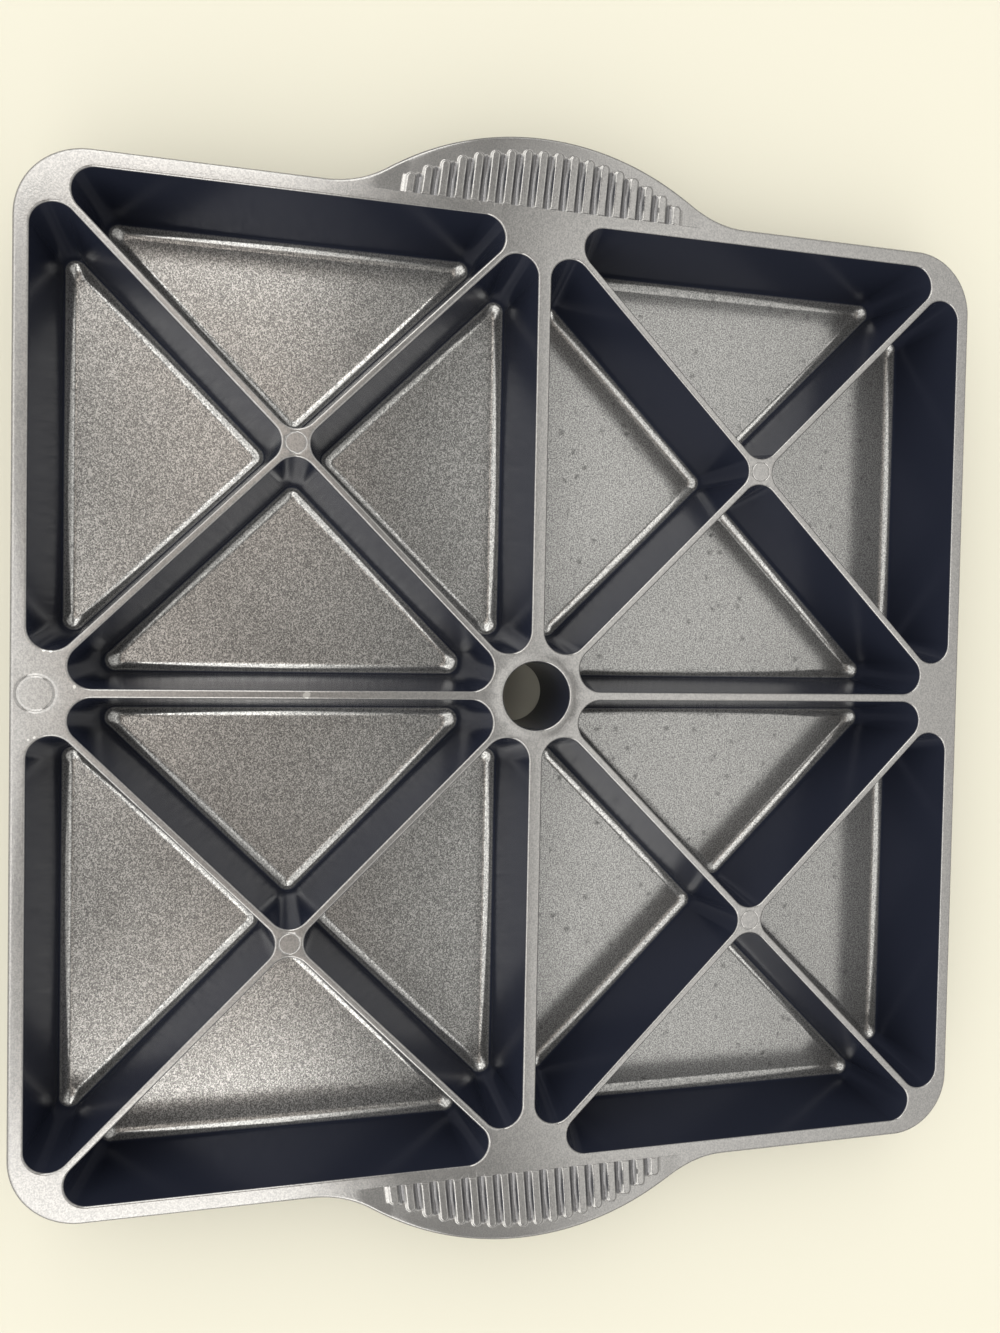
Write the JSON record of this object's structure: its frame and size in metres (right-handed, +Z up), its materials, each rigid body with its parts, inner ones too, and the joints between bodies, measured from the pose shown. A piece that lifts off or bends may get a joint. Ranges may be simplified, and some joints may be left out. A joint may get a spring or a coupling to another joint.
{
  "type": "scone pan",
  "caption": "Square cast baking pan with triangular scone wells, thin straight ribs, a round hole in the middle, and a fluted crescent handle on each of two opposite sides.",
  "frame": {"origin": "middle of the pan on the surface it rests on, at the underside of the wells' floors", "axes": "+Z up out of the wells; the handles point along -X and +X; +Y completes the right-handed set. In the node names left is -X, right is +X, front is -Y and back is +Y."},
  "size_m": [0.3176, 0.28, 0.0318],
  "materials": {
    "well_left_front_cross_rib_coating": "dark grey non-stick coating, satin, finely textured",
    "well_left_front_long_rib_coating": "dark grey non-stick coating, satin, finely textured",
    "well_left_front_handle_rim_coating": "dark grey non-stick coating, satin, finely textured",
    "well_left_front_side_rim_coating": "dark grey non-stick coating, satin, finely textured",
    "well_left_back_cross_rib_coating": "dark grey non-stick coating, satin, finely textured",
    "well_left_back_long_rib_coating": "dark grey non-stick coating, satin, finely textured",
    "well_left_back_handle_rim_coating": "dark grey non-stick coating, satin, finely textured",
    "well_left_back_side_rim_coating": "dark grey non-stick coating, satin, finely textured",
    "well_right_front_cross_rib_coating": "dark grey non-stick coating, satin, finely textured",
    "well_right_front_long_rib_coating": "dark grey non-stick coating, satin, finely textured",
    "well_right_front_handle_rim_coating": "dark grey non-stick coating, satin, finely textured",
    "well_right_front_side_rim_coating": "dark grey non-stick coating, satin, finely textured",
    "well_right_back_cross_rib_coating": "dark grey non-stick coating, satin, finely textured",
    "well_right_back_long_rib_coating": "dark grey non-stick coating, satin, finely textured",
    "well_right_back_handle_rim_coating": "dark grey non-stick coating, satin, finely textured",
    "well_right_back_side_rim_coating": "dark grey non-stick coating, satin, finely textured",
    "hub_coating": "dark grey non-stick coating, satin, finely textured",
    "handle_left_coating": "dark grey non-stick coating, satin, finely textured",
    "handle_right_coating": "dark grey non-stick coating, satin, finely textured"
  },
  "bodies": {
    "root": {"well_left_front_cross_rib": "well_left_front_cross_rib_coating", "well_left_front_long_rib": "well_left_front_long_rib_coating", "well_left_front_handle_rim": "well_left_front_handle_rim_coating", "well_left_front_side_rim": "well_left_front_side_rim_coating", "well_left_back_cross_rib": "well_left_back_cross_rib_coating", "well_left_back_long_rib": "well_left_back_long_rib_coating", "well_left_back_handle_rim": "well_left_back_handle_rim_coating", "well_left_back_side_rim": "well_left_back_side_rim_coating", "well_right_front_cross_rib": "well_right_front_cross_rib_coating", "well_right_front_long_rib": "well_right_front_long_rib_coating", "well_right_front_handle_rim": "well_right_front_handle_rim_coating", "well_right_front_side_rim": "well_right_front_side_rim_coating", "well_right_back_cross_rib": "well_right_back_cross_rib_coating", "well_right_back_long_rib": "well_right_back_long_rib_coating", "well_right_back_handle_rim": "well_right_back_handle_rim_coating", "well_right_back_side_rim": "well_right_back_side_rim_coating", "hub": "hub_coating", "handle_left": "handle_left_coating", "handle_right": "handle_right_coating"}
  },
  "joints": []
}
